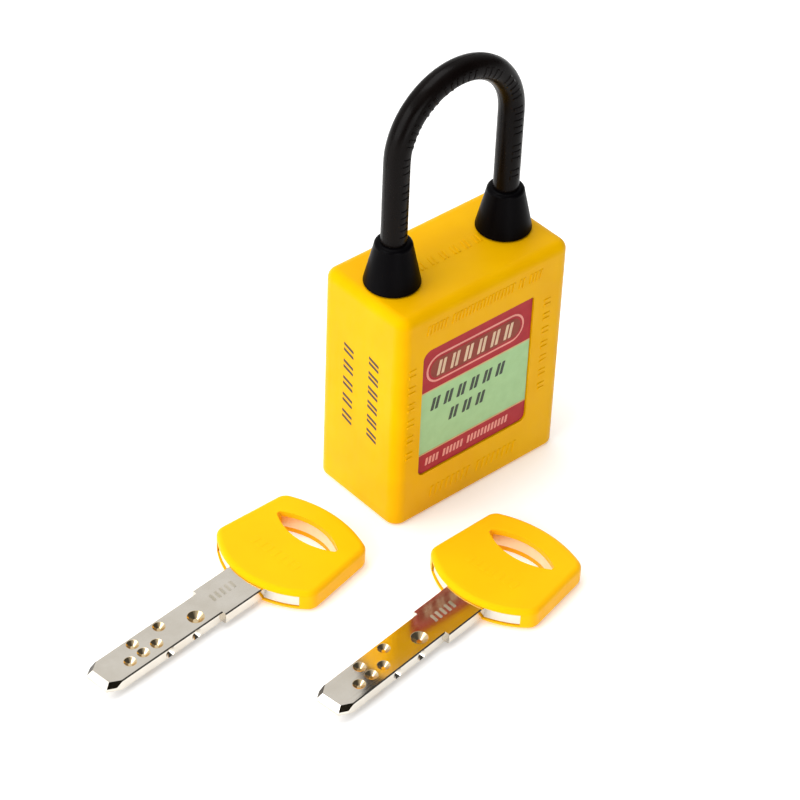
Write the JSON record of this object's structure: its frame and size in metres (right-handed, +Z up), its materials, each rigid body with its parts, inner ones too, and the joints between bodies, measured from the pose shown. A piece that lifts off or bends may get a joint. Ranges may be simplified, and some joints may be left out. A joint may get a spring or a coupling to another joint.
{
  "type": "safety padlock",
  "caption": "Keyed lockout padlock: yellow moulded body, black nylon shackle in conical boots, blank warning panel, dimple-key cylinder and its matching keys.",
  "frame": {"origin": "centre of the padlock body's bottom face", "axes": "+Z up along the shackle legs, X across both legs with the toe leg at +X, the labelled front face towards -Y"},
  "size_m": [0.1014, 0.0539, 0.0832],
  "materials": {
    "yellow_nylon": "satin moulded nylon",
    "label_film": "printed film under a clear satin coat",
    "boot_rubber": "smooth moulded rubber",
    "black_nylon": "satin moulded nylon",
    "spring_steel": "bright wire and stamped strip",
    "brass": "machined brass",
    "zinc_steel": "bright zinc plate",
    "zinc_casting": "as-cast zinc alloy",
    "nickel_plate": "nickel plate over brass",
    "bow_plastic": "satin moulded plastic"
  },
  "bodies": {
    "padlock_body": {"body_shell": "yellow_nylon", "base_cover": "yellow_nylon", "warning_label": "label_film", "cylinder_housing": "brass", "pin_stack_cover": "brass", "driver_pins": "brass", "pin_springs": "spring_steel", "cylinder_screw": "zinc_steel", "bolt_frame": "zinc_casting", "bolt_spring": "spring_steel", "shackle_spring": "spring_steel"},
    "plug": {"key_plug": "brass", "key_pins": "brass", "plug_circlip": "spring_steel", "cam": "zinc_casting", "cam_screw": "zinc_steel"},
    "shackle": {"shackle": "black_nylon", "shackle_clip": "spring_steel", "heel_boot": "boot_rubber", "toe_boot": "boot_rubber"},
    "toe_bolt": {"toe_bolt": "zinc_steel"},
    "heel_bolt": {"heel_bolt": "zinc_steel"},
    "key_1": {"key_1_blade": "nickel_plate", "key_1_bow": "bow_plastic"},
    "key_2": {"key_2_blade": "nickel_plate", "key_2_bow": "bow_plastic"}
  },
  "joints": [
    {"name": "plug_turn", "type": "hinge", "parent": "padlock_body", "child": "plug", "pos_m": [0, 0, 0], "axis": [0, 0, 1], "range_deg": [0, 90]},
    {"name": "toe_bolt_slide", "type": "slide", "parent": "padlock_body", "child": "toe_bolt", "axis": [-1, 0, 0], "range_m": [0, 0.004], "deforming": ["bolt_spring"]},
    {"name": "heel_bolt_slide", "type": "slide", "parent": "padlock_body", "child": "heel_bolt", "axis": [1, 0, 0], "range_m": [0, 0.004], "deforming": ["bolt_spring"]},
    {"name": "shackle_lift", "type": "slide", "parent": "padlock_body", "child": "shackle", "axis": [0, 0, 1], "range_m": [0, 0.012], "deforming": ["shackle_spring"]},
    {"name": "key_1_lift", "type": "slide", "parent": "padlock_body", "child": "key_1", "axis": [0, 0, 1], "range_m": [0, 0.03]},
    {"name": "key_2_lift", "type": "slide", "parent": "padlock_body", "child": "key_2", "axis": [0, 0, 1], "range_m": [0, 0.03]}
  ],
  "couplings": [
    {"joint": "toe_bolt_slide", "follows": "plug_turn", "m_per_rad": 0.0025464},
    {"joint": "heel_bolt_slide", "follows": "plug_turn", "m_per_rad": 0.0025464},
    {"joint": "shackle_lift", "follows": "plug_turn", "m_per_rad": 0.0076394}
  ]
}
